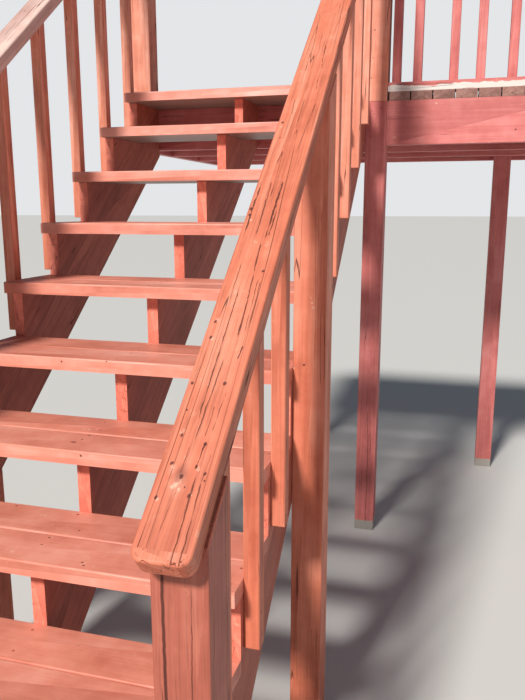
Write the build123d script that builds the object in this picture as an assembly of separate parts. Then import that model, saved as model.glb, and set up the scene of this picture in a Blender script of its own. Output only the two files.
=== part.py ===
from build123d import *
import math
import os

os.makedirs("parts", exist_ok=True)

# Lumber sizes
PLANK = 38.0
TREAD_BOARD = 140.0
POST = 92.0
RIM_HEIGHT = 188.0
BALUSTER = 38.0

# Stair flight
TREADS = 11
RISE = 190.5
TOP_RISE = 172.5
GOING = 238.0
BOARD_GAP = 3.0
FLIGHT_WIDTH = 1036.0
THROAT = 152.0
THROAT_LEFT = 186.0
EASE = 5.0

# Railing of the flight
RAIL_RIGHT = 706.0
RAIL_LEFT = 672.0
RAIL_WIDTH = 95.0
RAIL_OVERHANG = 65.0
RAIL_INSET = 6.0
RAIL_CORNER = 20.0
BALUSTER_SETBACK = 20.0
BALUSTER_LAP = 15.0
MIDDLE_POST_STEP = 6
LOWER_POST_STEP = 10
SPLIT_POST = 96.0

# Deck
RIM_CLEARANCE = 3.0
DECK_DEPTH = 1200.0
DECK_BOARD = 89.0
DECK_GAP = 5.0
INNER_JOISTS = 2
GUARD_SPAN = 856.0
GUARD_GAPS = [15.0, 52.0, 115.0, 73.0, 92.0, 90.0, 92.0, 61.0]
BACK_OVERHANG = 346.0
GUARD_LIP = 6.0
FIT = 2.0

# Derived places
TREAD_DEPTH = 2 * TREAD_BOARD + BOARD_GAP
NOSING = TREAD_DEPTH - GOING
DECK_TOP = (TREADS - 1) * RISE + TOP_RISE
SLOPE = RISE / GOING
ANGLE = math.atan(SLOPE)
RIM_FACE = TREAD_DEPTH + RIM_CLEARANCE
RIM_TOP = DECK_TOP - PLANK
RIM_BOTTOM = RIM_TOP - RIM_HEIGHT
DECK_LEFT = -POST
DECK_RIGHT = FLIGHT_WIDTH + POST + GUARD_SPAN + POST
DECK_BACK = RIM_FACE + DECK_DEPTH
FLIGHT_FRONT = -(TREADS - 1) * GOING
ORIGIN_X = (DECK_LEFT + DECK_RIGHT) / 2
ORIGIN_Y = (FLIGHT_FRONT + DECK_BACK) / 2


def tread_top(step):
    """Height of a tread counted from the top one."""
    if step == 1:
        return DECK_TOP
    return (TREADS - step + 1) * RISE


def tread_front(step):
    """Front edge of a tread counted from the top one."""
    return -(step - 1) * GOING


def riser_face(step):
    """Vertical cut of the stringer below a tread's nosing."""
    return tread_front(step) + NOSING


def nosing_line(y):
    """Height of the line through the tread noses."""
    return tread_top(2) + SLOPE * (y - tread_front(2))


def bar(x0, x1, y0, y1, z0, z1):
    """Square-edged piece of lumber between two corners."""
    size = (x1 - x0, y1 - y0, z1 - z0)
    middle = ((x0 + x1) / 2, (y0 + y1) / 2, (z0 + z1) / 2)
    return Pos(*middle) * Box(*size)


def side_plate(points, x0, x1):
    """Plate cut to an outline in the side view."""
    wire = Polyline(*[(x0, y, z) for y, z in points], close=True)
    face = make_face(wire)
    return extrude(face, amount=x1 - x0, dir=(1, 0, 0))


def placed(shape):
    """Move a piece to the shared origin."""
    return Pos(-ORIGIN_X, -ORIGIN_Y, 0) * shape


def save(shape, name):
    """Write one piece as a node."""
    export_step(placed(shape), "parts/" + name + ".step")


def save_group(shapes, name):
    """Write several separate solids as one node."""
    group = Compound(children=[placed(shape) for shape in shapes])
    export_step(group, "parts/" + name + ".step")


# Sawtooth stringers
def stringer(x0, throat):
    drop = throat / math.cos(ANGLE)
    corner_y = riser_face(1)
    corner_z = tread_top(2) - PLANK
    points = [(RIM_FACE, RIM_TOP), (corner_y, RIM_TOP)]
    for step in range(2, TREADS + 1):
        seat = tread_top(step) - PLANK
        points.append((riser_face(step - 1), seat))
        points.append((riser_face(step), seat))
    points.append((riser_face(TREADS), 0))
    heel = corner_y + (drop - corner_z) / SLOPE
    points.append((heel, 0))
    head = corner_z + SLOPE * (RIM_FACE - corner_y) - drop
    points.append((RIM_FACE, head))
    return side_plate(points, x0, x0 + PLANK)


save(stringer(0, THROAT_LEFT), "stringer_left")
save(stringer((FLIGHT_WIDTH - PLANK) / 2, THROAT), "stringer_middle")
save(stringer(FLIGHT_WIDTH - PLANK, THROAT), "stringer_right")


# Treads of two boards with eased long edges
def tread_board(y0, top):
    board = bar(0, FLIGHT_WIDTH, y0, y0 + TREAD_BOARD, top - PLANK, top)
    long_edges = board.edges().filter_by(Axis.X).group_by(Axis.Z)[-1]
    return fillet(long_edges, EASE)


for step in range(1, TREADS + 1):
    front = tread_front(step)
    top = tread_top(step)
    boards = [tread_board(front, top), tread_board(front + TREAD_BOARD + BOARD_GAP, top)]
    save_group(boards, "tread_%02d" % step)


# Rail cap laid flat on the posts
def rail_underside(y, height):
    return nosing_line(y) + height - PLANK / math.cos(ANGLE)


def post_under_rail(x0, x1, y0, y1, bottom, height):
    """Upright whose top is cut to the slope of the rail."""
    low = rail_underside(y0, height)
    high = rail_underside(y1, height)
    return side_plate([(y0, bottom), (y1, bottom), (y1, high), (y0, low)], x0, x1)


def upright_front(step):
    return riser_face(step) + BALUSTER_SETBACK


def rail(x0, height):
    lower = upright_front(LOWER_POST_STEP) - RAIL_OVERHANG
    lean = PLANK * math.sin(ANGLE)
    rise = PLANK * math.cos(ANGLE)
    points = [(RIM_FACE, nosing_line(RIM_FACE) + height)]
    points.append((RIM_FACE, rail_underside(RIM_FACE, height)))
    points.append((lower + lean, nosing_line(lower) + height - rise))
    points.append((lower, nosing_line(lower) + height))
    cap = side_plate(points, x0, x0 + RAIL_WIDTH)
    across = Vector(0, math.sin(ANGLE), -math.cos(ANGLE))
    end_edges = [e for e in cap.edges() if abs(abs((e % 0.5).dot(across)) - 1) < 0.001]
    cap = fillet(end_edges, RAIL_CORNER)
    top_faces = [f for f in cap.faces() if abs(f.normal_at().dot(across) + 1) < 0.001]
    rim = [e for e in top_faces[0].edges() if e.center().Y < RIM_FACE - 1]
    return fillet(rim, EASE)


left_x = (-POST, 0)
right_x = (FLIGHT_WIDTH, FLIGHT_WIDTH + POST)
save(rail(RAIL_INSET - RAIL_WIDTH, RAIL_LEFT), "handrail_left")
save(rail(FLIGHT_WIDTH - RAIL_INSET, RAIL_RIGHT), "handrail_right")

# Posts of the flight that stand on the ground
for name, step, width in (("lower", LOWER_POST_STEP, SPLIT_POST), ("middle", MIDDLE_POST_STEP, POST)):
    front = upright_front(step)
    back = front + POST
    split_x = (FLIGHT_WIDTH, FLIGHT_WIDTH + width)
    save(post_under_rail(*left_x, front, back, 0, RAIL_LEFT), name + "_post_left")
    save(post_under_rail(*split_x, front - (width - POST), back, 0, RAIL_RIGHT), name + "_post_right")


# Balusters lapped onto the outside of the stringers
def balusters(x0, height):
    pieces = []
    for step in range(1, LOWER_POST_STEP):
        if step == MIDDLE_POST_STEP:
            continue
        front = upright_front(step)
        back = front + BALUSTER
        bottom = tread_top(step + 1) + BALUSTER_LAP
        pieces.append(post_under_rail(x0, x0 + BALUSTER, front, back, bottom, height))
    return pieces


save_group(balusters(-BALUSTER, RAIL_LEFT), "balusters_left")
save_group(balusters(FLIGHT_WIDTH, RAIL_RIGHT), "balusters_right")

# Newels and deck posts
GUARD_TOP = nosing_line(RIM_FACE) + RAIL_RIGHT + GUARD_LIP
NEWEL_TOP = GUARD_TOP - PLANK
front_y = (RIM_FACE, RIM_FACE + POST)
back_y = (DECK_BACK - PLANK - POST, DECK_BACK - PLANK)
back_left_x = ((FLIGHT_WIDTH - POST) / 2, (FLIGHT_WIDTH + POST) / 2)
back_right_x = (DECK_RIGHT - BACK_OVERHANG - POST, DECK_RIGHT - BACK_OVERHANG)
end_x = (DECK_RIGHT - POST, DECK_RIGHT)
save(bar(*left_x, *front_y, RIM_BOTTOM, NEWEL_TOP), "newel_left")
save(bar(*right_x, *front_y, RIM_TOP, NEWEL_TOP), "newel_right")
save(bar(*end_x, *front_y, RIM_TOP, NEWEL_TOP), "newel_end")

post_places = {
    "deck_post_right": (right_x, front_y),
    "deck_post_end": (end_x, front_y),
    "deck_post_back_left": (back_left_x, back_y),
    "deck_post_back_right": (back_right_x, back_y),
}
for name, (px, py) in post_places.items():
    save(bar(*px, *py, 0, RIM_TOP), name)

# Rim boards and joists
save(bar(0, FLIGHT_WIDTH, RIM_FACE, RIM_FACE + PLANK, RIM_BOTTOM, RIM_TOP), "rim_stair")
save(bar(right_x[1], end_x[0], RIM_FACE, RIM_FACE + PLANK, RIM_BOTTOM, RIM_TOP), "rim_front")
save(bar(DECK_LEFT, DECK_RIGHT, DECK_BACK - PLANK, DECK_BACK, RIM_BOTTOM, RIM_TOP), "rim_back")
side_run = (front_y[1], DECK_BACK - PLANK)
save(bar(DECK_LEFT, DECK_LEFT + PLANK, *side_run, RIM_BOTTOM, RIM_TOP), "rim_left")
save(bar(DECK_RIGHT - PLANK, DECK_RIGHT, *side_run, RIM_BOTTOM, RIM_TOP), "rim_right")
joists = []
joist_pitch = (DECK_DEPTH - PLANK) / (INNER_JOISTS + 1)
for number in range(1, INNER_JOISTS + 1):
    y0 = RIM_FACE + number * joist_pitch
    joists.append(bar(DECK_LEFT + PLANK, DECK_RIGHT - PLANK, y0, y0 + PLANK, RIM_BOTTOM, RIM_TOP))
save_group(joists, "joists")

# Deck boards, notched round the newels
width = DECK_RIGHT - DECK_LEFT
count = round((width + DECK_GAP) / (DECK_BOARD + DECK_GAP))
board_pitch = (width + DECK_GAP) / count
boards = []
for number in range(count):
    x0 = DECK_LEFT + number * board_pitch
    x1 = x0 + board_pitch - DECK_GAP
    board = bar(x0, x1, RIM_FACE, DECK_BACK, RIM_TOP, DECK_TOP)
    for low, high in (left_x, right_x, end_x):
        if x0 < high + FIT and x1 > low - FIT:
            notch = (low - FIT, high + FIT, RIM_FACE, front_y[1] + FIT)
            board = board - bar(*notch, RIM_TOP, DECK_TOP)
    boards.append(board.solid())
save_group(boards, "deck_boards")

# Guard along the front of the deck
plate_top = DECK_TOP + PLANK
save(bar(right_x[1], end_x[0], *front_y, DECK_TOP, plate_top), "guard_plate")
guard = []
guard_y = RIM_FACE + (POST - BALUSTER) / 2
x1 = right_x[1]
open_width = GUARD_SPAN - (len(GUARD_GAPS) - 1) * BALUSTER
for gap in GUARD_GAPS[:-1]:
    x0 = x1 + gap / sum(GUARD_GAPS) * open_width
    x1 = x0 + BALUSTER
    guard.append(bar(x0, x1, guard_y, guard_y + BALUSTER, plate_top, NEWEL_TOP))
save_group(guard, "guard_balusters")
save(bar(right_x[0], end_x[1], *front_y, NEWEL_TOP, NEWEL_TOP + PLANK), "guard_cap")
save(bar(*left_x, *front_y, NEWEL_TOP, NEWEL_TOP + PLANK), "newel_cap_left")
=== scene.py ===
import math
import random

import bpy
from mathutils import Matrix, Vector


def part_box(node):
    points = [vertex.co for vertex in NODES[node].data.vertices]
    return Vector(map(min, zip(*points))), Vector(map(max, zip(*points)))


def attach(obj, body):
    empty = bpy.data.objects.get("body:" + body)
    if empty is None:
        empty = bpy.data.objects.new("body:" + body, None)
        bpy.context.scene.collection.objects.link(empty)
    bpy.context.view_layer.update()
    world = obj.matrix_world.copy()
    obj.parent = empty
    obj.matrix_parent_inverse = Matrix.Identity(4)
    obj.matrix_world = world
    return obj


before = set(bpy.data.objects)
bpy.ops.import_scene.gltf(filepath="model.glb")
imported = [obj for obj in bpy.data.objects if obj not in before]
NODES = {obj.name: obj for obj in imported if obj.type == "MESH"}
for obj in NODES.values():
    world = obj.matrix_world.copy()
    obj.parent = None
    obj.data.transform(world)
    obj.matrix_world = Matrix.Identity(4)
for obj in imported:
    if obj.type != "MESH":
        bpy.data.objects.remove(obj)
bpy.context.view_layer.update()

random.seed(7)

# Sizes in metres, as in the part's source
TREADS = 11
RISE = 0.1905
TOP_RISE = 0.1725
GOING = 0.238
PLANK = 0.038
POST = 0.092
BOARD = 0.140
GAP = 0.003
FLIGHT_WIDTH = 1.036
RAIL_WIDTH = 0.095
RAIL_INSET = 0.006
RAIL_RIGHT = 0.706
RAIL_LEFT = 0.672
BALUSTER = 0.038
BALUSTER_SETBACK = 0.020
BALUSTER_LAP = 0.015
MIDDLE_POST_STEP = 6
LOWER_POST_STEP = 10
RIM_CLEARANCE = 0.003
DECK_DEPTH = 1.2
DECK_BOARDS = 23
DECK_GAP = 0.005
INNER_JOISTS = 2
GUARD_SPAN = 0.856
ORIGIN_X = 0.992
ORIGIN_Y = -0.447

# Places in the frame
ANGLE = math.atan(RISE / GOING)
COS = math.cos(ANGLE)
SIN = math.sin(ANGLE)
NOSING = 2 * BOARD + GAP - GOING
X_LEFT = -ORIGIN_X
X_RIGHT = X_LEFT + FLIGHT_WIDTH
CAP_LEFT = X_LEFT - RAIL_WIDTH
CAP_RIGHT = X_RIGHT - RAIL_INSET
DECK_TOP = (TREADS - 1) * RISE + TOP_RISE
DECK_LEFT = X_LEFT - POST
DECK_RIGHT = X_RIGHT + POST + GUARD_SPAN + POST
DECK_FRONT = 2 * BOARD + GAP + RIM_CLEARANCE - ORIGIN_Y


def tread_top(step):
    """Height of a tread counted from the top one."""
    return DECK_TOP if step == 1 else (TREADS - step + 1) * RISE


def tread_front(step):
    """Front edge of a tread counted from the top one."""
    return -(step - 1) * GOING - ORIGIN_Y


def cap_top(y, height):
    """Height of a rail cap's upper face above a place along the flight."""
    return tread_top(2) + RISE / GOING * (y - tread_front(2)) + height


def along_cap(y, height):
    """Distance along the slope of a point on a cap."""
    return y * COS + cap_top(y, height) * SIN


# Materials
def srgb(r, g, b):
    """Colour as it is seen, 0 to 255, turned to linear light."""
    out = []
    for v in (r / 255, g / 255, b / 255):
        out.append(v / 12.92 if v <= 0.04045 else ((v + 0.055) / 1.055) ** 2.4)
    return (*out, 1.0)


# Stains, each from deep to pale
ORANGE = (srgb(190, 100, 74), srgb(218, 126, 98), srgb(236, 156, 130))
TREAD = (srgb(198, 114, 94), srgb(224, 142, 122), srgb(240, 170, 152))
# FADED_AND_GLARE: the left cap's faded stain, made paler still as a painted highlight of glare on its
# top
FADED_AND_GLARE = (srgb(200, 154, 142), srgb(224, 188, 178), srgb(240, 214, 206))
# SHADE_BROWN: a darker copy of the orange stain, painted shade for shaded sides; used on the stringers,
# the lower right post and the painted screw heads
SHADE_BROWN = (srgb(156, 82, 66), srgb(184, 102, 84), srgb(206, 128, 108))
RED = (srgb(184, 96, 92), srgb(212, 120, 116), srgb(232, 150, 146))
GREY = (srgb(122, 86, 78), srgb(156, 114, 104), srgb(188, 148, 138))
STEEL = (srgb(96, 92, 90), srgb(120, 116, 112), srgb(146, 140, 134))

# Colours of grain and wear, and of painted shade and highlight
GRAIN = srgb(84, 42, 34)
KNOT = srgb(96, 44, 34)
SCUFF = srgb(226, 176, 150)
KNOCK = srgb(92, 44, 36)
# HOLLOW_SHADE: painted shade in the dish round a knot, over the knot's darker colour
HOLLOW_SHADE = srgb(132, 72, 60)
# RUBBED_AND_HIGHLIT: rubbed stain, made paler as a painted highlight on the knot's dish
RUBBED_AND_HIGHLIT = srgb(238, 178, 156)
CHIP = srgb(236, 186, 162)
PIN = srgb(84, 36, 30)
CRACK = srgb(62, 28, 24)
BARE_WOOD = (srgb(206, 190, 182), srgb(246, 240, 234))
UNDERSIDE = (srgb(112, 94, 84), srgb(160, 138, 124))
GREY_FOOT = (srgb(138, 132, 126), srgb(182, 176, 168))
BOARD_TINTS = ((0.84, 0.84, 0.84, 1), (1.08, 1.06, 1.05, 1))
# SUN_FADE_AND_GLARE: paler higher up, partly sun-faded stain and partly painted highlight
SUN_FADE_AND_GLARE = (1.12, 1.42, 1.62, 1)
# LIT_END_TINT: painted light that lightens the front-facing cut ends
LIT_END_TINT = (1.7, 1.75, 1.8, 1)


class Graph:
    """Short hand for wiring shader nodes."""

    def __init__(self, name):
        self.mat = bpy.data.materials.new(name)
        self.mat.use_nodes = True
        self.tree = self.mat.node_tree
        self.tree.nodes.clear()

    def add(self, kind, values=(), **attrs):
        node = self.tree.nodes.new(kind)
        for key, value in attrs.items():
            setattr(node, key, value)
        for key, value in dict(values).items():
            if isinstance(value, bpy.types.NodeSocket):
                self.tree.links.new(value, node.inputs[key])
            else:
                node.inputs[key].default_value = value
        return node

    def math(self, op, a, b=0.0):
        return self.add("ShaderNodeMath", {0: a, 1: b}, operation=op).outputs[0]

    def times(self, *terms):
        out = terms[0]
        for term in terms[1:]:
            out = self.math("MULTIPLY", out, term)
        return out

    def plus(self, *terms):
        out = terms[0]
        for term in terms[1:]:
            out = self.math("ADD", out, term)
        return out

    def invert(self, a):
        return self.math("SUBTRACT", 1.0, a)

    def apart(self, *terms):
        """Sum without its sign."""
        return self.math("ABSOLUTE", self.plus(*terms))

    def mix(self, fac, a, b, blend="MIX"):
        values = {0: fac, 6: a, 7: b}
        return self.add("ShaderNodeMix", values, data_type="RGBA", blend_type=blend).outputs[2]

    def ramp(self, fac, *stops):
        node = self.add("ShaderNodeValToRGB", {0: fac})
        ramp = node.color_ramp
        while len(ramp.elements) < len(stops):
            ramp.elements.new(0.5)
        for element, (place, colour) in zip(ramp.elements, stops):
            element.position = place
            element.color = colour
        return node.outputs[0]

    def gate(self, value, low, high):
        """0 below low, 1 above high."""
        values = {0: value, 1: low, 2: high, 3: 0.0, 4: 1.0}
        return self.add("ShaderNodeMapRange", values, clamp=True).outputs[0]

    def noise(self, vector, scale, detail=4.0, rough=0.55, distort=0.0):
        values = {"Vector": vector, "Scale": scale, "Detail": detail,
                  "Roughness": rough, "Distortion": distort}
        return self.add("ShaderNodeTexNoise", values).outputs[0]

    def wave(self, value, scale, seed):
        """Smooth noise of one coordinate, about 0 to 1."""
        values = {"W": self.plus(self.times(value, scale), seed), "Scale": 1.0, "Detail": 2.0}
        return self.add("ShaderNodeTexNoise", values, noise_dimensions="1D").outputs[0]

    def sway(self, value, scale, seed, reach):
        """The same noise to both sides of 0."""
        return self.times(self.plus(self.wave(value, scale, seed), -0.5), reach)

    def stretch(self, vector, share):
        """Coordinates that change more slowly along the grain."""
        return self.add("ShaderNodeMapping", {"Vector": vector, "Scale": (share, 1.0, 1.0)}).outputs[0]

    def cells(self, vector, share, scale):
        """Distance from scattered points along the grain, and a random colour of each point."""
        values = {"Vector": self.stretch(vector, share), "Scale": scale}
        node = self.add("ShaderNodeTexVoronoi", values)
        return node.outputs["Distance"], self.split(node.outputs["Color"])

    def split(self, vector):
        return self.add("ShaderNodeSeparateXYZ", {0: vector}).outputs

    def join(self, x, y, z):
        return self.add("ShaderNodeCombineXYZ", {0: x, 1: y, 2: z}).outputs[0]


def crack_lines(g, across, along, lines):
    """Splits over a whole face; each line is place, sway, half width, cover, seed."""
    total = 0.0
    for place, reach, half, cover, seed in lines:
        bend = g.sway(along, 2.2, seed, reach)
        jitter = g.sway(along, 45.0, seed + 3, 0.0022)
        off = g.apart(across, -place, bend, jitter)
        stretch = g.gate(g.wave(along, 5.5, seed + 7), 0.62 - cover * 0.34, 0.70 - cover * 0.34)
        line = g.times(g.invert(g.gate(off, half * 0.45, half)), stretch)
        total = g.math("MAXIMUM", total, line)
    return total


def splits(g, across, along, rows):
    """Short splits; a row is start and stop in metres, place at each in mm, half width in mm."""
    uneven = g.noise(g.join(g.times(along, 22.0), g.times(across, 130.0), 0.0), 1.0, 3.0, 0.7)
    width = g.gate(uneven, 0.3, 0.62)
    bend = g.plus(g.sway(along, 18.0, 2.0, 3.0), g.sway(along, 60.0, 4.0, 1.8),
                  g.sway(along, 260.0, 9.0, 0.9))
    flat = g.join(along, across, 0.0)
    flat = g.add("ShaderNodeMapping", {"Vector": flat, "Scale": (1.0, 1000.0, 1.0)}).outputs[0]
    metres, millimetres = g.split(flat)[0:2]
    place = g.plus(millimetres, bend)
    total = 0.0
    for start, stop, low, high, half in rows:
        t = g.times(g.plus(metres, -start), 1.0 / (stop - start))
        off = g.apart(place, -low, g.times(t, low - high))
        taper = g.math("MINIMUM", g.times(t, g.invert(t), 16.0), 1.0)
        line = g.plus(g.times(taper, width, half * 1.25), g.times(off, -1.0))
        line = g.math("MINIMUM", g.times(line, 2.0), 1.0)
        total = g.math("MAXIMUM", total, g.times(line, min(1.0, 0.35 + half * 0.42)))
    return total


def bent(g, vector):
    """The same place pushed about by fine noise, so that marks are uneven."""
    values = {"Vector": vector, "Scale": 130.0, "Detail": 2.0}
    noise = g.add("ShaderNodeTexNoise", values).outputs["Color"]
    push = g.add("ShaderNodeVectorMath", {0: noise, 1: (0.5, 0.5, 0.5)}, operation="SUBTRACT").outputs[0]
    push = g.add("ShaderNodeVectorMath", {0: push, "Scale": 0.004}, operation="SCALE").outputs[0]
    return g.add("ShaderNodeVectorMath", {0: vector, 1: push}, operation="ADD").outputs[0]


def dots(g, vector, places, soft):
    """Marks round places, each three coordinates and a radius."""
    total = 0.0
    for *spot, radius in places:
        values = {0: vector, 1: tuple(spot)}
        far = g.add("ShaderNodeVectorMath", values, operation="DISTANCE").outputs["Value"]
        mark = g.times(g.math("SUBTRACT", radius, far), 1.0 / (radius * (1.0 - soft)))
        total = g.math("MAXIMUM", total, mark)
    return g.math("MINIMUM", total, 1.0)


AXES = {"X": (0, 1, 2), "Y": (1, 0, 2), "Z": (2, 0, 1)}
# Marks on the caps are a little longer along the slope than across it
CAP_SQUEEZE = 0.7


def along_grain(g, place, along):
    """Coordinates along the grain, across it and through the piece."""
    if along == "SLOPE":
        run = g.plus(g.times(place[1], COS), g.times(place[2], SIN))
        lift = g.plus(g.times(place[2], COS), g.times(place[1], -SIN))
        return run, place[0], lift
    return tuple(place[i] for i in AXES[along])


def front_face(g, facing, along):
    """1 on the upper face of a sloping piece, or on the front of any other."""
    if along == "SLOPE":
        return g.gate(g.plus(g.times(facing[2], COS), g.times(facing[1], -SIN)), 0.55, 0.75)
    return g.gate(g.times(facing[1], -1.0), 0.4, 0.6)


def wood(name, tone, along="X", grain=0.35, checks=0.3, wear=0.25, figure=0.32, gloss=0.42,
         fade_and_glare=0.0, lit_ends=0.0, dents=0.0, under=0.0, bare=0.0, foot=False,
         lines=(), reach=9.0, short=(), pins=(), chips=(), rubbed_and_lit=(), dips=()):
    """Stained lumber whose grain runs along X, Y, Z or the slope of the flight."""
    g = Graph(name)
    place = g.split(g.add("ShaderNodeTexCoord").outputs["Object"])
    flat = along_grain(g, place, along)
    # each board has its own stretch of grain
    lot = g.plus(g.times(g.add("ShaderNodeNewGeometry").outputs["Random Per Island"], 3.7),
                 g.times(g.add("ShaderNodeObjectInfo").outputs["Random"], 5.9))
    local = g.join(g.plus(flat[0], g.times(lot, 7.0)), g.plus(flat[1], lot),
                   g.plus(flat[2], g.times(lot, 2.3)))
    long = g.stretch(local, 0.03)
    fibre = g.noise(long, 240.0, 5.0, 0.62, 0.3)
    rings = g.noise(long, 36.0, 3.0, 0.5, 1.2)
    patch = g.noise(local, 2.6, 4.0, 0.55)
    mottle = g.noise(local, 14.0, 3.0, 0.6)
    spots = g.noise(local, 60.0, 3.0, 0.6)
    facing = g.split(g.add("ShaderNodeNewGeometry").outputs["Normal"])
    front = front_face(g, facing, along)

    deep, mid, pale = tone
    body = g.plus(g.times(patch, 0.8 - figure), g.times(rings, figure), g.times(mottle, 0.22))
    colour = g.ramp(body, (0.38, deep), (0.52, mid), (0.68, pale))
    tint = g.math("FRACT", g.times(lot, 3.3))
    tint = g.ramp(tint, (0.0, BOARD_TINTS[0]), (1.0, BOARD_TINTS[1]))
    colour = g.mix(0.7, colour, tint, "MULTIPLY")
    dark = g.mix(0.6, colour, GRAIN)
    colour = g.mix(g.times(g.gate(fibre, 0.5, 0.72), grain), colour, dark)
    # knots
    near, kind = g.cells(local, 0.35, 5.5)
    knot = g.times(g.invert(g.gate(near, 0.035, 0.085)), g.gate(kind[0], 0.62, 0.66))
    colour = g.mix(g.times(knot, 0.3), colour, KNOT)
    # scuffs that show paler wood through the stain
    scuff = g.times(g.gate(spots, 0.62, 0.72), g.gate(mottle, 0.5, 0.62))
    colour = g.mix(g.times(scuff, wear), colour, SCUFF)
    if dents:
        near, kind = g.cells(local, 0.6, 12.0)
        near = g.plus(near, g.times(g.plus(spots, -0.5), 0.06))
        dent = g.times(g.invert(g.gate(near, 0.03, 0.05)), g.gate(kind[1], 0.58, 0.6))
        colour = g.mix(g.times(dent, dents), colour, KNOCK)
    if bare:
        # stain gone from the lower part of the guard's plate
        share = g.plus(g.times(patch, 0.35), g.times(fibre, 0.2), g.times(mottle, 0.45))
        strip = g.gate(share, 0.58 - bare * 0.2, 0.62 - bare * 0.2)
        edge = g.plus(place[2], g.times(g.plus(mottle, -0.5), 0.03),
                      g.times(g.plus(spots, -0.5), 0.012))
        strip = g.times(strip, g.invert(g.gate(edge, DECK_TOP + 0.023, DECK_TOP + 0.026)))
        colour = g.mix(strip, colour, g.mix(fibre, *BARE_WOOD))

    # drying checks, then the splits of single pieces
    line = g.apart(g.noise(g.stretch(local, 0.028), 30.0, 2.0, 0.4, 0.3), -0.5)
    some = g.gate(g.noise(local, 3.1, 2.0), 0.62 - checks * 0.25, 0.66 - checks * 0.25)
    crack = g.times(g.invert(g.gate(line, 0.001, 0.006)), some)
    if lines:
        drawn = g.times(crack_lines(g, flat[1], flat[0], lines), g.plus(0.12, g.times(front, 0.88)))
        drawn = g.times(drawn, g.invert(g.gate(place[2], reach - 0.04, reach)))
        crack = g.math("MAXIMUM", crack, drawn)
    if short:
        drawn = splits(g, g.plus(flat[1], -CAP_RIGHT), flat[0], short)
        crack = g.math("MAXIMUM", crack, g.times(drawn, g.plus(0.1, g.times(front, 0.9))))

    # nail holes and knocks, some with the stain chipped off beside them
    if pins:
        seat = g.join(*place)
        if along == "SLOPE":
            seat = g.join(g.times(flat[0], CAP_SQUEEZE), flat[1], 0.0)
        seat = bent(g, seat)
        if dips:
            # painted shade in the knot's dish, over the knot's own darker colour
            hollow = g.times(front, dots(g, seat, dips, 0.1))
            colour = g.mix(g.times(hollow, 0.75), colour, HOLLOW_SHADE)
        if rubbed_and_lit:
            # paler patches round the knot: rubbed stain, partly painted highlight on its dish
            uneven = g.plus(0.35, g.times(g.gate(spots, 0.5, 0.62), 0.65))
            colour = g.mix(g.times(front, dots(g, seat, rubbed_and_lit, 0.3), uneven, 0.6), colour, RUBBED_AND_HIGHLIT)
        if chips:
            chip = g.times(dots(g, seat, chips, 0.6), g.gate(spots, 0.42, 0.54))
            colour = g.mix(g.times(chip, 0.6), colour, CHIP)
        pin = dots(g, seat, pins, 0.55)
        if along == "SLOPE":
            pin = g.times(pin, front)
        colour = g.mix(g.times(pin, 0.85), colour, PIN)
        crack = g.math("MAXIMUM", crack, g.times(pin, 0.3))

    if fade_and_glare:
        # paler higher up: partly sun-faded stain, partly painted highlight on the upper parts
        up = g.times(g.gate(place[2], 1.2, 2.2), fade_and_glare)
        colour = g.mix(up, colour, g.mix(1.0, colour, SUN_FADE_AND_GLARE, "MULTIPLY"))
    if lit_ends:
        # painted light: the cut ends that face the front are lightened against the painted shade of the
        # sides
        ahead = g.times(g.gate(g.times(facing[1], -1.0), 0.7, 0.9), lit_ends)
        colour = g.mix(ahead, colour, g.mix(1.0, colour, LIT_END_TINT, "MULTIPLY"))
    colour = g.mix(g.times(crack, 0.84), colour, CRACK)
    if under:
        down = g.gate(g.times(facing[2], -1.0), 0.5, 0.8)
        colour = g.mix(g.times(down, under), colour, g.mix(g.noise(long, 60.0), *UNDERSIDE))
    if foot:
        level = g.plus(place[2], g.times(g.plus(spots, -0.5), 0.012))
        low = g.invert(g.gate(level, 0.046, 0.050))
        colour = g.mix(low, colour, g.mix(fibre, *GREY_FOOT))
    rough = g.plus(gloss, g.times(fibre, 0.2), g.times(crack, 0.3))
    height = g.plus(g.times(fibre, 0.55), g.times(rings, 0.6), g.times(crack, -3.2),
                    g.times(scuff, -0.3), g.times(knot, -0.5))
    values = {"Strength": 0.6, "Distance": 0.0014, "Height": height}
    bump = g.add("ShaderNodeBump", values).outputs[0]
    values = {"Base Color": colour, "Roughness": rough, "Normal": bump, "Specular IOR Level": 0.4}
    skin = g.add("ShaderNodeBsdfPrincipled", values)
    g.add("ShaderNodeOutputMaterial", {"Surface": skin.outputs[0]})
    return g.mat


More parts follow.
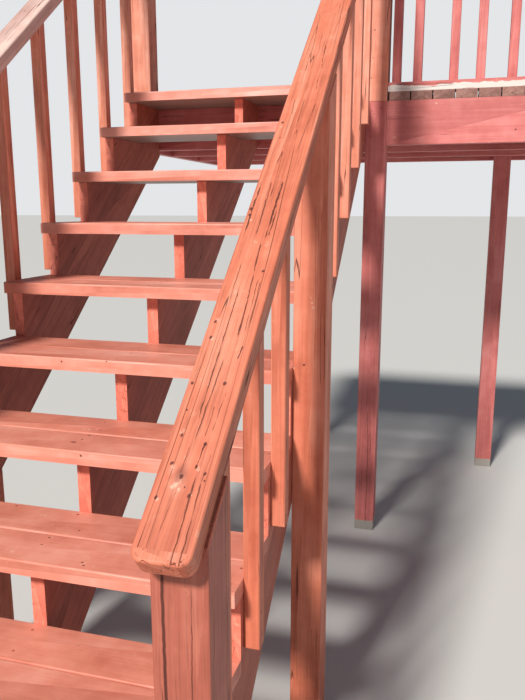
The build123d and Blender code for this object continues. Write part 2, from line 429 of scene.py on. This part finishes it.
# Splits in the right cap: start and stop along the slope in m, mm from its left edge at each,
# half width in mm
CAP_SPLITS = [
    # lower end and round the knot
    (-0.66, -0.50, 67, 65, 1.3), (-0.66, -0.51, 80, 76, 1.2), (-0.60, -0.52, 35, 42, 0.7),
    (-0.50, -0.45, 39, 40, 0.9), (-0.49, -0.44, 61, 64, 1.8), (-0.51, -0.46, 76, 79, 0.9),
    # above the knot
    (-0.44, -0.27, 45, 51, 1.3), (-0.40, -0.09, 40, 37, 1.4), (-0.43, -0.37, 60, 61, 0.9),
    (-0.42, -0.34, 69, 73, 0.9), (-0.22, -0.11, 63, 60, 1.6), (-0.12, 0.03, 60, 52, 1.5),
    (-0.27, -0.24, 75, 78, 1.4), (-0.21, -0.07, 73, 69, 1.0), (-0.20, -0.08, 78, 75, 1.0),
    (-0.14, -0.03, 26, 26, 1.0),
    # towards the mid-flight post and past it
    (0.05, 0.23, 37, 33, 1.4), (0.04, 0.23, 58, 58, 2.2), (0.05, 0.13, 63, 64, 1.6),
    (0.06, 0.23, 11, 10, 2.0), (0.33, 0.54, 68, 79, 1.0), (0.43, 0.56, 48, 48, 0.9),
    (0.49, 0.56, 28, 23, 1.0), (0.60, 0.65, 70, 67, 0.9), (0.69, 0.79, 26, 24, 1.1),
    (0.71, 0.83, 66, 59, 1.3), (0.77, 0.90, 46, 39, 0.8), (0.84, 1.02, 25, 13, 0.9),
    (0.98, 1.07, 69, 65, 0.8),
]
# a few more near the deck
for number in range(4):
    start, off = random.uniform(1.08, 1.9), random.uniform(12, 84)
    stop = start + random.uniform(0.08, 0.3)
    CAP_SPLITS.append((start, stop, off, off + random.uniform(-3, 3), random.uniform(0.8, 1.2)))

# Nail holes, knocks and chips in the same cap: along in m, across in mm, radius in mm
CAP_PINS = [
    (-0.483, 20, 3.4), (-0.485, 61, 3.0), (-0.496, 78, 2.6), (-0.504, 42, 3.6), (-0.543, 13, 3.2),
    (-0.535, 63, 3.2), (-0.444, 64, 3.2), (-0.186, 13, 3.0), (-0.224, 14, 3.4), (-0.327, 9, 2.8),
    (-0.382, 15, 2.0), (-0.431, 21, 3.0), (-0.324, 66, 3.4), (-0.052, 74, 3.4), (0.135, 7, 4.2),
    (0.115, 9, 3.6), (-0.521, 52, 1.6), (-0.508, 80, 1.8), (0.457, 12, 4.0), (0.394, 18, 2.4),
]
CAP_CHIPS = [
    (-0.489, 23, 4.0), (-0.488, 65, 3.6), (-0.532, 67, 3.2), (-0.546, 16, 3.4), (-0.424, 20, 5.0),
    (-0.182, 16, 4.2), (-0.228, 18, 3.2), (0.138, 14, 4.5), (0.098, 14, 4.5), (-0.520, 38, 4.0),
    (-0.524, 33, 3.0), (-0.527, 44, 3.0), (0.438, 13, 4.5), (0.692, 67, 4.5),
]
CAP_KNOT = [(-0.502, 40, 17)]
# paler patches round the knot: rubbed stain and painted highlight
CAP_RUBBED_AND_LIT = [(-0.521, 38, 18), (-0.495, 24, 9)]
NAIL_SETBACK = 0.08
for step in range(1, 4):
    nail = along_cap(tread_front(step) + NAIL_SETBACK, RAIL_RIGHT)
    CAP_PINS.append((nail, random.uniform(14, 30), 2.6))


def on_cap(places, edge):
    """Marks on a cap from its left edge, as places in the material."""
    return [(s * CAP_SQUEEZE, edge + u / 1000, 0.0, r / 1000) for s, u, r in places]


LEFT_PINS = []
for step in range(1, 11):
    nail = along_cap(tread_front(step) + NAIL_SETBACK, RAIL_LEFT)
    LEFT_PINS.append((nail, random.uniform(25, 60), 3.2))
# Place across the left cap as a share of its width, sway, half width, cover, seed
LEFT_LINES = [
    (0.22, 0.014, 0.0008, 0.35, 4.2),
    (0.43, 0.014, 0.0011, 0.50, 12.5),
    (0.62, 0.014, 0.0009, 0.45, 28.8),
    (0.79, 0.014, 0.0008, 0.40, 37.3),
]
left_lines = [(CAP_LEFT + RAIL_WIDTH * share, *rest) for share, *rest in LEFT_LINES]

# Marks on front faces in mm: from the left stringer's face, above ground
NEWEL_PINS = [(1065, 2335), (1055, 2138), (1060, 2221), (1066, 2662), (1058, 2804)]
MIDDLE_PINS = [(1068, 1150)]
MIDDLE_CHIPS = [(1073, 1146), (1040, 1140), (1088, 1323), (1083, 1337), (1091, 1311)]
DECK_POST_PINS = [(1065, 1999), (1072, 1986), (1098, 2012), (1060, 1890)]
RIM_PINS = [(1672, 1903), (1851, 1977), (1857, 1979), (1863, 1981), (1869, 1984)]
RIM_CHIPS = [(1502, 1850), (1568, 1852), (1340, 2022), (1216, 2040)]


def on_front(node, places, radius):
    """Marks on the front face of a piece as places in the frame."""
    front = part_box(node)[0][1]
    return [(X_LEFT + x / 1000, front, z / 1000, radius) for x, z in places]


# Marks on three treads in mm: from the left stringer's face, behind the nosing or down its front,
# radius
TOP_PINS = {
    6: [(268, 138, 3.0)],
    7: [(478, 63, 5), (486, 63, 6), (494, 89, 3.6), (496, 125, 4.0), (503, 177, 3.2),
        (480, 245, 3.2)],
    8: [(314, 266, 4.0), (508, 262, 4.2), (560, 177, 3.4), (508, 122, 3.6), (510, 84, 3.2),
        (652, 32, 4.0), (662, 20, 3.2)],
}
TOP_CHIPS = {
    6: [(384, 56, 5), (403, 68, 7)],
    7: [(452, 171, 9), (468, 174, 7), (485, 182, 8)],
    8: [(493, 264, 6), (513, 266, 5), (423, 234, 6), (411, 231, 5), (474, 189, 5), (461, 35, 6),
        (657, 27, 9), (514, 125, 3)],
}
FRONT_PINS = {6: [(351, 12, 4.0), (497, 3, 3.0)], 7: [(540, 12, 4.2)]}
FRONT_CHIPS = {6: [(501, 7, 4)]}


def on_treads(tops, fronts):
    """Marks on treads as places in the frame."""
    out = []
    for step, rows in tops.items():
        y, z = tread_front(step), tread_top(step)
        out += [(X_LEFT + x / 1000, y + back / 1000, z, r / 1000) for x, back, r in rows]
    for step, rows in fronts.items():
        y, z = tread_front(step), tread_top(step)
        out += [(X_LEFT + x / 1000, y, z - down / 1000, r / 1000) for x, down, r in rows]
    return out


looks = {
    "tread": wood(
        "tread_stain", TREAD, "X", grain=0.14, checks=-0.6, wear=0.6, figure=0.12, gloss=0.33,
        fade_and_glare=0.9, dents=0.6, under=0.85, pins=on_treads(TOP_PINS, FRONT_PINS),
        chips=on_treads(TOP_CHIPS, FRONT_CHIPS)),
    "cap_right": wood(
        "right_cap_stain", ORANGE, "SLOPE", grain=0.75, checks=0.8, wear=0.5, short=CAP_SPLITS,
        pins=on_cap(CAP_PINS, CAP_RIGHT), chips=on_cap(CAP_CHIPS, CAP_RIGHT),
        rubbed_and_lit=on_cap(CAP_RUBBED_AND_LIT, CAP_RIGHT), dips=on_cap(CAP_KNOT, CAP_RIGHT)),
    # left cap: faded stain, paler still as painted glare on its top
    "cap_left": wood(
        "left_cap_stain", FADED_AND_GLARE, "SLOPE", grain=0.5, checks=0.2, wear=0.5, lines=left_lines,
        pins=on_cap(LEFT_PINS, CAP_LEFT)),
    # stringers: a darker stain as painted shade on the sides, with painted light on the front-facing
    # ends
    "stringer": wood("stringer_shade_and_lit_ends", SHADE_BROWN, "SLOPE", grain=0.4, lit_ends=1.0),
    "upright": wood("upright_stain", ORANGE, "Z", grain=0.4, checks=0.3, wear=0.35, fade_and_glare=1.0),
    "split_post": wood(
        "split_post_stain", SHADE_BROWN, "Z", grain=0.6, checks=0.4,
        lines=[(X_RIGHT + 0.0215, 0.005, 0.0032, 3.0, 5.5),
               (X_RIGHT + 0.066, 0.012, 0.0008, 0.5, 15.5)]),
    "middle_post": wood(
        "middle_post_stain", ORANGE, "Z", grain=0.4, checks=0.3, wear=0.35, fade_and_glare=1.0,
        pins=on_front("middle_post_right", MIDDLE_PINS, 0.004),
        chips=on_front("middle_post_right", MIDDLE_CHIPS, 0.004)),
    "newel": wood(
        "newel_stain", ORANGE, "Z", grain=0.35, checks=0.25, wear=0.35, fade_and_glare=1.0,
        pins=on_front("newel_right", NEWEL_PINS, 0.0032)),
    "rim": wood("rim_stain", RED, "X", grain=0.3, wear=0.5),
    "rim_front": wood(
        "front_rim_stain", RED, "X", grain=0.16, wear=0.6,
        pins=on_front("rim_front", RIM_PINS, 0.0042),
        chips=on_front("rim_front", RIM_CHIPS, 0.006)),
    "rim_side": wood("side_rim_stain", RED, "Y", grain=0.3),
    "guard": wood("guard_stain", RED, "Z", grain=0.3),
    "deck_post": wood(
        "deck_post_stain", RED, "Z", grain=0.35, checks=0.35, foot=True,
        lines=[(X_RIGHT + 0.055, 0.05, 0.0015, 3.0, 8.4)], reach=0.62,
        pins=on_front("deck_post_right", DECK_POST_PINS, 0.003)),
    "plate": wood("worn_plate_stain", RED, "X", bare=0.9, wear=0.6),
    "deck": wood("weathered_board", GREY, "Y", grain=0.5, checks=0.5, gloss=0.6),
    "screw_stained": wood("painted_screw", SHADE_BROWN, "X", grain=0.1, checks=0.0),
    "screw_grey": wood("worn_screw", STEEL, "X", gloss=0.4),
}

# The first start of a piece's name that fits gives its look
LOOK_OF = (
    ("tread", "tread"),
    ("handrail_right", "cap_right"),
    ("handrail_left", "cap_left"),
    ("stringer", "stringer"),
    ("lower_post_right", "split_post"),
    ("middle_post_right", "middle_post"),
    ("newel_right", "newel"),
    (("balusters", "lower_post", "middle_post", "newel_left", "newel_cap"), "upright"),
    ("deck_boards", "deck"),
    ("deck_post", "deck_post"),
    ("guard_plate", "plate"),
    ("rim_front", "rim_front"),
    (("rim_left", "rim_right"), "rim_side"),
    (("rim", "joists", "guard_cap"), "rim"),
    (("guard_balusters", "newel_end"), "guard"),
)
WELD_DISTANCE = 0.00005
EASE_WIDTH = 0.0025
EASE_ANGLE = math.radians(40)

for name, piece in NODES.items():
    look = next(look for start, look in LOOK_OF if name.startswith(start))
    piece.data.materials.clear()
    piece.data.materials.append(looks[look])
    weld = piece.modifiers.new("weld", "WELD")
    weld.merge_threshold = WELD_DISTANCE
    ease = piece.modifiers.new("ease", "BEVEL")
    ease.width = EASE_WIDTH
    ease.segments = 2
    ease.limit_method = "ANGLE"
    ease.angle_limit = EASE_ANGLE

# Screw heads, painted over on the flight
HEAD_SIDES = 10
HEAD_SINK = 0.001


def head_offset(axis, u, v, w):
    """Turn an offset in a head's own plane, w outwards, to where the head faces."""
    return {"Z": (u, v, w), "+X": (w, u, v), "-X": (-w, u, v)}[axis]


def screws(name, places, axis, look, radius=0.0036, lift=0.0005):
    """Low heads at given places, facing up or to one side."""
    verts = []
    faces = []
    turns = [2 * math.pi * k / HEAD_SIDES for k in range(HEAD_SIDES)]
    for place in places:
        base = len(verts)
        for level, r in ((-HEAD_SINK, radius), (lift * 0.5, radius), (lift, radius * 0.7)):
            for turn in turns:
                off = head_offset(axis, r * math.cos(turn), r * math.sin(turn), level)
                verts.append(tuple(p + o for p, o in zip(place, off)))
        for ring in (base, base + HEAD_SIDES):
            for k in range(HEAD_SIDES):
                n = (k + 1) % HEAD_SIDES
                faces.append((ring + k, ring + n, ring + HEAD_SIDES + n, ring + HEAD_SIDES + k))
        faces.append(tuple(base + 2 * HEAD_SIDES + k for k in range(HEAD_SIDES)))
    mesh = bpy.data.meshes.new(name)
    mesh.from_pydata(verts, [], faces)
    mesh.materials.append(looks[look])
    obj = bpy.data.objects.new(name, mesh)
    bpy.context.scene.collection.objects.link(obj)
    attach(obj, "root")


def jitter(spread=0.004):
    return random.uniform(-spread, spread)


PAIR_ON_TREAD = (0.032, 0.108)
OVER_STRINGERS = (X_LEFT + PLANK / 2, X_LEFT + FLIGHT_WIDTH / 2, X_RIGHT - PLANK / 2)
BARE_MIDDLE_STEPS = (7, 8)
tread_places = []
for step in range(1, TREADS + 1):
    for board in (0, BOARD + GAP):
        for x in OVER_STRINGERS:
            if step in BARE_MIDDLE_STEPS and x == OVER_STRINGERS[1]:
                continue
            for y in PAIR_ON_TREAD:
                spot = (x + jitter(), tread_front(step) + board + y + jitter(), tread_top(step))
                tread_places.append(spot)
screws("tread_screws", tread_places, "Z", "screw_stained")

PAIR_ON_BOARD = (-0.026, 0.026)
NEWEL_CLEARANCE = 0.008
board_pitch = (DECK_RIGHT - DECK_LEFT + DECK_GAP) / DECK_BOARDS
joist_pitch = (DECK_DEPTH - PLANK) / (INNER_JOISTS + 1)
newel_middles = (X_LEFT - POST / 2, X_RIGHT + POST / 2, DECK_RIGHT - POST / 2)
deck_places = []
for number in range(DECK_BOARDS):
    middle = DECK_LEFT + (number + 0.5) * board_pitch - DECK_GAP / 2
    for row in range(INNER_JOISTS + 2):
        y = DECK_FRONT + row * joist_pitch + PLANK / 2
        for side in PAIR_ON_BOARD:
            x = middle + side + jitter(0.003)
            by_newel = min(abs(x - n) for n in newel_middles) < POST / 2 + NEWEL_CLEARANCE
            under_plate = X_RIGHT + POST < x < DECK_RIGHT - POST
            if row == 0 and (by_newel or under_plate):
                continue
            deck_places.append((x, y + jitter(), DECK_TOP))
screws("deck_screws", deck_places, "Z", "screw_grey", 0.0042, 0.0006)

PAIR_ON_BALUSTER = (0.03, 0.09)
left_places = []
right_places = []
for step in range(1, LOWER_POST_STEP):
    if step == MIDDLE_POST_STEP:
        continue
    y = tread_front(step) + NOSING + BALUSTER_SETBACK + BALUSTER / 2
    for up in PAIR_ON_BALUSTER:
        z = tread_top(step + 1) + BALUSTER_LAP + up
        left_places.append((X_LEFT - BALUSTER, y + jitter(0.003), z + jitter(0.003)))
        right_places.append((X_RIGHT + BALUSTER, y + jitter(0.003), z + jitter(0.003)))
screws("left_baluster_screws", left_places, "-X", "screw_stained")
screws("right_baluster_screws", right_places, "+X", "screw_stained")

# Floor
FLOOR_HALF = 150
corners = [(-1, -1), (1, -1), (1, 1), (-1, 1)]
mesh = bpy.data.meshes.new("floor")
mesh.from_pydata([(FLOOR_HALF * x, FLOOR_HALF * y, 0) for x, y in corners], [], [(0, 1, 2, 3)])
floor = bpy.data.objects.new("floor", mesh)
bpy.context.scene.collection.objects.link(floor)
g = Graph("floor")
skin = g.add("ShaderNodeBsdfPrincipled", {"Base Color": srgb(204, 204, 202), "Roughness": 0.9})
g.add("ShaderNodeOutputMaterial", {"Surface": skin.outputs[0]})
floor.data.materials.append(g.mat)

# Soft light from all round, and the pale background that the camera sees
world = bpy.data.worlds.new("world")
bpy.context.scene.world = world
world.use_nodes = True
tree = world.node_tree
tree.nodes.clear()
light_path = tree.nodes.new("ShaderNodeLightPath")
soft = tree.nodes.new("ShaderNodeBackground")
soft.inputs[0].default_value = (0.78, 0.94, 1.15, 1)
soft.inputs[1].default_value = 0.14
seen = tree.nodes.new("ShaderNodeBackground")
seen.inputs[0].default_value = srgb(228, 230, 232)
seen.inputs[1].default_value = 1.0
blend = tree.nodes.new("ShaderNodeMixShader")
out = tree.nodes.new("ShaderNodeOutputWorld")
tree.links.new(light_path.outputs["Is Camera Ray"], blend.inputs[0])
tree.links.new(soft.outputs[0], blend.inputs[1])
tree.links.new(seen.outputs[0], blend.inputs[2])
tree.links.new(blend.outputs[0], out.inputs[0])


# Lamps
def lamp(name, kind, energy, aim):
    """A lamp that shines in a direction."""
    light = bpy.data.lights.new(name, kind)
    light.energy = energy
    obj = bpy.data.objects.new(name, light)
    bpy.context.scene.collection.objects.link(obj)
    obj.rotation_euler = Vector(aim).to_track_quat("-Z", "Y").to_euler()
    return obj


key = lamp("key", "SUN", 4.5, (6.5, 25.0, -24.0))
key.data.angle = math.radians(9)
key.data.color = (1.0, 0.96, 0.9)
fill = lamp("fill", "AREA", 24, (-5.5, 3.0, -3.3))
fill.data.size = 4.0
fill.location = (5.5, -3.0, 4.5)

# Camera, its place measured from the left stringer's face and the top nosing
CAMERA_PLACE = (1.4576, -2.9612, 1.5739)
CAMERA_DIP = 11.51
CAMERA_TURN = 15.49
SENSOR = 36
FOCAL_SHARE = 694.1 / 700
camera = bpy.data.cameras.new("camera")
camera.sensor_width = SENSOR
camera.lens = FOCAL_SHARE * SENSOR
view = bpy.data.objects.new("camera", camera)
bpy.context.scene.collection.objects.link(view)
view.location = (CAMERA_PLACE[0] - ORIGIN_X, CAMERA_PLACE[1] - ORIGIN_Y, CAMERA_PLACE[2])
view.rotation_euler = (math.radians(90 - CAMERA_DIP), 0, math.radians(CAMERA_TURN))
bpy.context.scene.camera = view
bpy.context.scene.view_settings.view_transform = "Standard"
